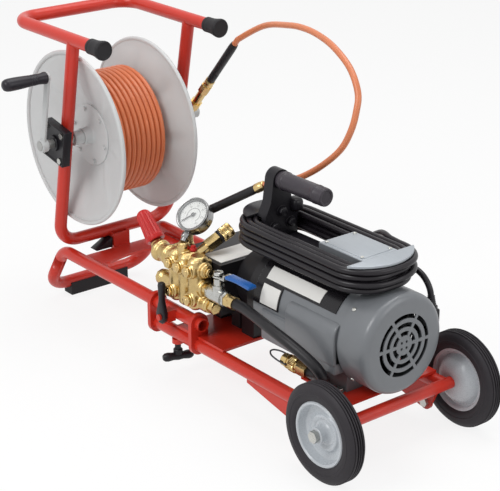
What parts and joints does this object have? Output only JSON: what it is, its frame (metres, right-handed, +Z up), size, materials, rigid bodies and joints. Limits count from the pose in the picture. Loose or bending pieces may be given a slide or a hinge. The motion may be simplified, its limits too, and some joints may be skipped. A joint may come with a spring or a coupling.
{
  "type": "drain jetter",
  "caption": "Electric drain jetter: motor and plunger pump on a red tube cart with two wheels, hand-crank hose reel, whip hose, gauge, inlet valve and wound power cord.",
  "frame": {"origin": "on the floor, under the middle of the rubber foot", "axes": "+X along the cart from the foot to the wheels, +Y to the side of the hose swivel, +Z up; the crank, gauge and inlet valve are on the -Y side"},
  "size_m": [1.0817, 0.481, 0.6518],
  "materials": {
    "frame_red": "gloss",
    "foot_black": "matte",
    "block_black": "satin",
    "steel_zinc": "satin",
    "tyre_black": "matte",
    "wheel_grey": "satin",
    "reel_grey": "satin",
    "hose_orange": "satin",
    "hose_black": "satin",
    "brass": "satin",
    "valve_chrome": "polished",
    "motor_grey": "satin",
    "pump_grey": "satin",
    "ceramic_white": "gloss",
    "knob_red": "gloss",
    "needle_black": "matte",
    "lever_blue": "satin",
    "stator_iron": "matte",
    "plate_white": "satin"
  },
  "bodies": {
    "cart": {"front_frame": "frame_red", "base_plates": "frame_red", "rear_frame": "frame_red", "saddle_plate": "frame_red", "reel_stand": "frame_red", "handle_bar": "frame_red", "foot_rubber": "foot_black", "end_caps": "foot_black", "bearing_blocks": "block_black", "handle_bracket": "block_black", "carry_grip": "block_black", "wrap_panel": "block_black", "cord_gland": "block_black", "axle_pins": "steel_zinc", "bolts": "steel_zinc", "swivel_body": "steel_zinc", "whip_hose": "hose_orange", "whip_sleeves": "hose_black", "inlet_hose": "hose_black", "cord_coil": "hose_black", "cord_ends": "hose_black", "cord_plug": "hose_black", "swivel_elbow": "brass", "manifold": "brass", "valve_caps": "brass", "brass_fittings": "brass", "inlet_coupling": "brass", "valve_body": "valve_chrome", "gauge_case": "valve_chrome", "motor_shell": "motor_grey", "end_bell": "motor_grey", "fan_cover": "motor_grey", "capacitor_cover": "motor_grey", "switch_box": "motor_grey", "cord_lips": "motor_grey", "crankcase": "pump_grey", "plungers": "ceramic_white", "stator": "stator_iron", "blank_plates": "plate_white"},
    "near_wheel": {"tyre_near": "tyre_black", "wheel_near": "wheel_grey"},
    "far_wheel": {"tyre_far": "tyre_black", "wheel_far": "wheel_grey"},
    "reel": {"flange_near_disc": "reel_grey", "flange_far_disc": "reel_grey", "drum_core": "reel_grey", "hose_core": "hose_orange", "jet_hose": "hose_orange", "reel_shaft": "steel_zinc", "hub_plates": "reel_grey", "crank_arm": "steel_zinc"},
    "crank_handle": {"crank_grip": "block_black"},
    "tube_clamp": {"clamp_lever": "block_black"},
    "clamp_screw": {"clamp_knob": "block_black"},
    "pressure_knob": {"unloader_knob": "knob_red"},
    "gauge_hand": {"gauge_needle": "needle_black"},
    "ball_valve": {"valve_stem": "steel_zinc", "valve_lever": "lever_blue"},
    "motor_rotor": {"rotor": "steel_zinc"},
    "power_rocker": {"switch_rocker": "block_black"}
  },
  "joints": [
    {"name": "near_wheel_spin", "type": "hinge", "parent": "cart", "child": "near_wheel", "pos_m": [0.93, -0.158, 0.089], "axis": [0, 1, 0], "continuous": true},
    {"name": "far_wheel_spin", "type": "hinge", "parent": "cart", "child": "far_wheel", "pos_m": [0.93, 0.158, 0.089], "axis": [0, 1, 0], "continuous": true},
    {"name": "reel_spin", "type": "hinge", "parent": "cart", "child": "reel", "pos_m": [0.1241, 0, 0.388], "axis": [0, 1, 0], "continuous": true},
    {"name": "crank_handle_spin", "type": "hinge", "parent": "reel", "child": "crank_handle", "pos_m": [0.15195, -0.24, 0.53132], "axis": [0, 1, 0], "continuous": true},
    {"name": "tube_clamp_swing", "type": "hinge", "parent": "cart", "child": "tube_clamp", "pos_m": [0.461, -0.1485, 0.132], "axis": [0, 1, 0], "range_deg": [0, 90]},
    {"name": "clamp_screw_turn", "type": "hinge", "parent": "cart", "child": "clamp_screw", "pos_m": [0.461, -0.119, 0.05], "axis": [0, 0, 1], "range_deg": [0, 360]},
    {"name": "pressure_knob_turn", "type": "hinge", "parent": "cart", "child": "pressure_knob", "pos_m": [0.404, -0.113, 0.2367], "axis": [-0.7071, 0, 0.7071], "range_deg": [-540, 540]},
    {"name": "gauge_hand_turn", "type": "hinge", "parent": "cart", "child": "gauge_hand", "pos_m": [0.479, -0.095, 0.3287], "axis": [0.1618, -0.7009, 0.6947], "range_deg": [-270, 0]},
    {"name": "ball_valve_turn", "type": "hinge", "parent": "cart", "child": "ball_valve", "pos_m": [0.581, -0.113, 0.2047], "axis": [0, 0, 1], "range_deg": [-90, 0]},
    {"name": "motor_spin", "type": "hinge", "parent": "cart", "child": "motor_rotor", "pos_m": [0.63, 0, 0.2067], "axis": [1, 0, 0], "continuous": true},
    {"name": "power_rocker_tip", "type": "hinge", "parent": "cart", "child": "power_rocker", "pos_m": [0.774, 0, 0.3227], "axis": [0, 1, 0], "range_deg": [-16, 0]}
  ]
}
